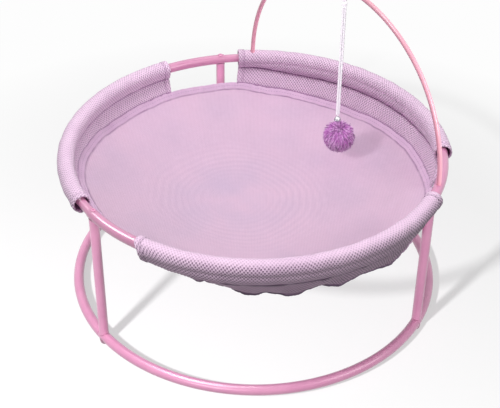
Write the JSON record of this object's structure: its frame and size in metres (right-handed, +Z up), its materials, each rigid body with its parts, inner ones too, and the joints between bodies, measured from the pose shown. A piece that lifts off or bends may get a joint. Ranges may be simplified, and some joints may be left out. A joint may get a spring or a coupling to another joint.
{
  "type": "raised pet bed",
  "caption": "Raised round pet bed: two tube rings on legs hold a slung mesh bowl in sleeves, and a bent rod arch carries a hanging pompom toy with a bell.",
  "frame": {"origin": "on the floor, at the middle of the rings", "axes": "+Z up, +Y towards the back, where the arch stands, and +X to the right seen from the open front"},
  "size_m": [0.452, 0.4513, 0.3591],
  "materials": {
    "pink_tube": "satin powder coat",
    "pink_rod": "satin powder coat",
    "pink_screw": "satin powder coat",
    "steel_insert": "zinc plated",
    "thick_mesh": "thick ribbed polyester mesh",
    "fine_mesh": "fine woven polyester mesh",
    "edge_tape": "folded polyester tape",
    "white_cord": "braided elastic cord",
    "bell_metal": "bright plated",
    "purple_yarn": "cut soft yarn"
  },
  "bodies": {
    "frame": {"top_ring_back": "pink_tube", "top_ring_left": "pink_tube", "top_ring_right": "pink_tube", "base_ring_back": "pink_tube", "base_ring_left": "pink_tube", "base_ring_right": "pink_tube", "leg_front": "pink_tube", "leg_left": "pink_tube", "leg_right": "pink_tube", "leg_insert_top_front": "steel_insert", "leg_insert_top_left": "steel_insert", "leg_insert_top_right": "steel_insert", "leg_insert_base_front": "steel_insert", "leg_insert_base_left": "steel_insert", "leg_insert_base_right": "steel_insert", "top_screw_front": "pink_screw", "top_screw_left": "pink_screw", "top_screw_right": "pink_screw", "base_screw_front": "pink_screw", "base_screw_left": "pink_screw", "base_screw_right": "pink_screw", "sleeve_back": "thick_mesh", "sleeve_left": "thick_mesh", "sleeve_right": "thick_mesh", "edge_binding": "edge_tape", "bowl_panel": "fine_mesh"},
    "arch": {"arch_rod": "pink_rod"},
    "toy_hanger": {"toy_loop": "white_cord", "toy_knot": "white_cord"},
    "toy": {"toy_cord_back": "white_cord", "toy_cord_front": "white_cord", "toy_bell": "bell_metal", "toy_bell_pellet": "bell_metal", "toy_pompom": "purple_yarn"}
  },
  "joints": [
    {"name": "arch_lift", "type": "slide", "parent": "frame", "child": "arch", "axis": [0, 0, 1], "range_m": [0, 0.05]},
    {"name": "toy_swing", "type": "hinge", "parent": "arch", "child": "toy_hanger", "pos_m": [0, 0.121, 0.3535], "axis": [1, 0, 0], "range_deg": [-80, 16]},
    {"name": "toy_sway", "type": "hinge", "parent": "toy_hanger", "child": "toy", "pos_m": [0, 0.121, 0.3325], "axis": [0, 1, 0], "range_deg": [-48, 48]}
  ]
}
